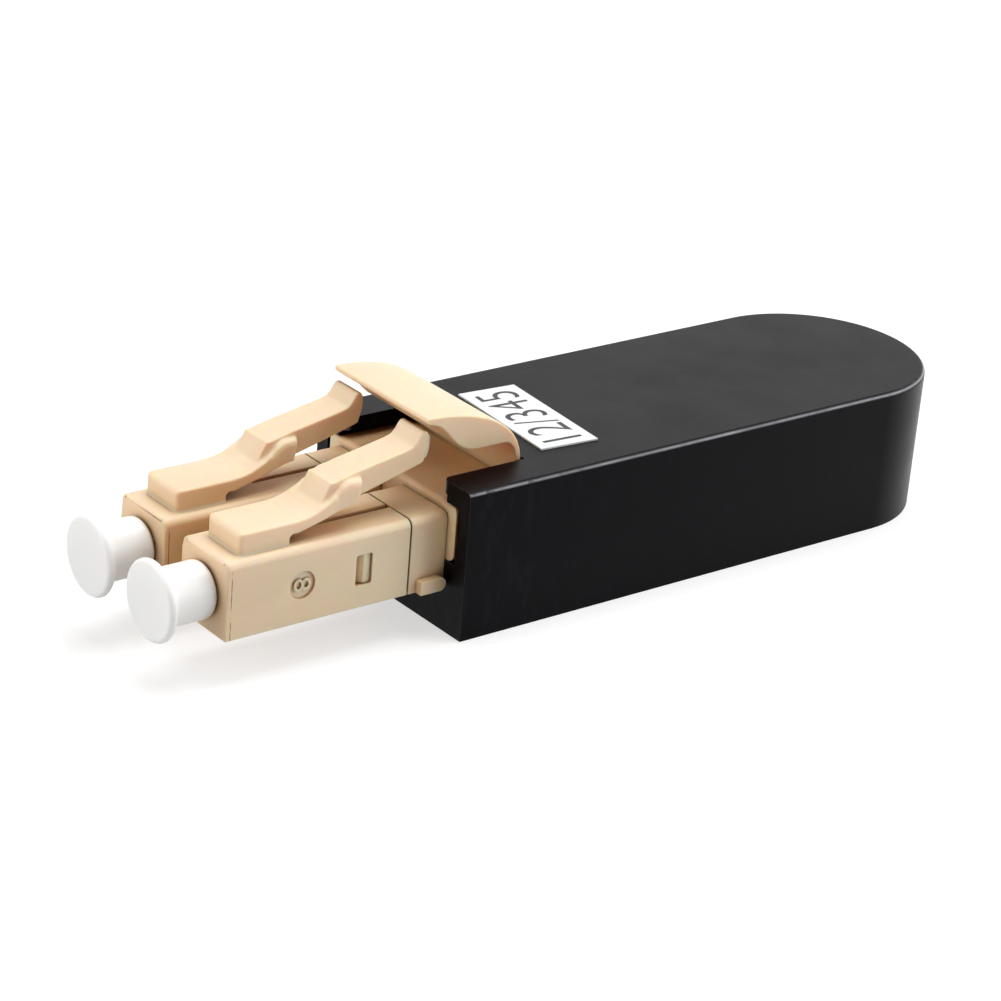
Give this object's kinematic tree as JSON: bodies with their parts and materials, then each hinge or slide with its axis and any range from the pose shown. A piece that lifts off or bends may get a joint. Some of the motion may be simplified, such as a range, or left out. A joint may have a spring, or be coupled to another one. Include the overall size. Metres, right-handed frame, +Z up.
{
  "type": "fibre loopback plug",
  "caption": "Duplex fibre loopback plug: a black round-ended housing with beige latching connectors, a duplex trigger clip, dust caps and an inner loop of fibre.",
  "frame": {"origin": "middle of the bounding box at the base that the housing rests on", "axes": "+Y to the round rear end of the housing, the connectors point to -Y; +Z up, trigger on top; +X to the right-hand connector seen from the connector end looking at the housing"},
  "size_m": [0.0146, 0.0571, 0.0126],
  "materials": {
    "black_housing": "satin black moulded plastic",
    "beige_moulding": "beige glass-filled moulded plastic, slightly translucent",
    "white_cap": "soft white polyethylene",
    "label_paper": "white printed label",
    "zirconia": "polished zirconia",
    "nickel_silver": "turned nickel silver",
    "spring_steel": "drawn spring wire",
    "boot_rubber": "moulded rubber",
    "fibre_buffer": "extruded buffer"
  },
  "bodies": {
    "plug": {"housing_shell": "black_housing", "base_cover": "black_housing", "label": "label_paper", "duplex_clip": "beige_moulding", "fibre_loop": "fibre_buffer", "left_front_housing": "beige_moulding", "right_front_housing": "beige_moulding", "left_rear_body": "beige_moulding", "right_rear_body": "beige_moulding", "left_spring": "spring_steel", "right_spring": "spring_steel", "left_boot": "boot_rubber", "right_boot": "boot_rubber"},
    "trigger": {"trigger": "beige_moulding"},
    "left_latch": {"left_latch": "beige_moulding"},
    "left_ferrule": {"left_ferrule": "zirconia", "left_flange": "nickel_silver"},
    "left_dust_cap": {"left_dust_cap": "white_cap"},
    "right_latch": {"right_latch": "beige_moulding"},
    "right_ferrule": {"right_ferrule": "zirconia", "right_flange": "nickel_silver"},
    "right_dust_cap": {"right_dust_cap": "white_cap"}
  },
  "joints": [
    {"name": "trigger_press", "type": "hinge", "parent": "plug", "child": "trigger", "pos_m": [0, -0.00522, 0.0077], "axis": [1, 0, 0], "range_deg": [0, 14], "stiffness_Nm_per_rad": 0.01},
    {"name": "left_latch_flex", "type": "hinge", "parent": "plug", "child": "left_latch", "pos_m": [-0.00313, -0.02049, 0.00797], "axis": [1, 0, 0], "range_deg": [-11.5, 0], "stiffness_Nm_per_rad": 0.004},
    {"name": "left_ferrule_float", "type": "slide", "parent": "plug", "child": "left_ferrule", "axis": [0, 1, 0], "range_m": [0, 0.0008], "stiffness_N_per_m": 50, "deforming": ["left_spring"]},
    {"name": "left_cap_pull", "type": "slide", "parent": "plug", "child": "left_dust_cap", "axis": [0, -1, 0], "range_m": [0, 0.012]},
    {"name": "right_latch_flex", "type": "hinge", "parent": "plug", "child": "right_latch", "pos_m": [0.00313, -0.02049, 0.00797], "axis": [1, 0, 0], "range_deg": [-11.5, 0], "stiffness_Nm_per_rad": 0.004},
    {"name": "right_ferrule_float", "type": "slide", "parent": "plug", "child": "right_ferrule", "axis": [0, 1, 0], "range_m": [0, 0.0008], "stiffness_N_per_m": 50, "deforming": ["right_spring"]},
    {"name": "right_cap_pull", "type": "slide", "parent": "plug", "child": "right_dust_cap", "axis": [0, -1, 0], "range_m": [0, 0.012]}
  ],
  "couplings": [
    {"joint": "left_latch_flex", "follows": "trigger_press", "ratio": -0.8},
    {"joint": "right_latch_flex", "follows": "trigger_press", "ratio": -0.8}
  ]
}
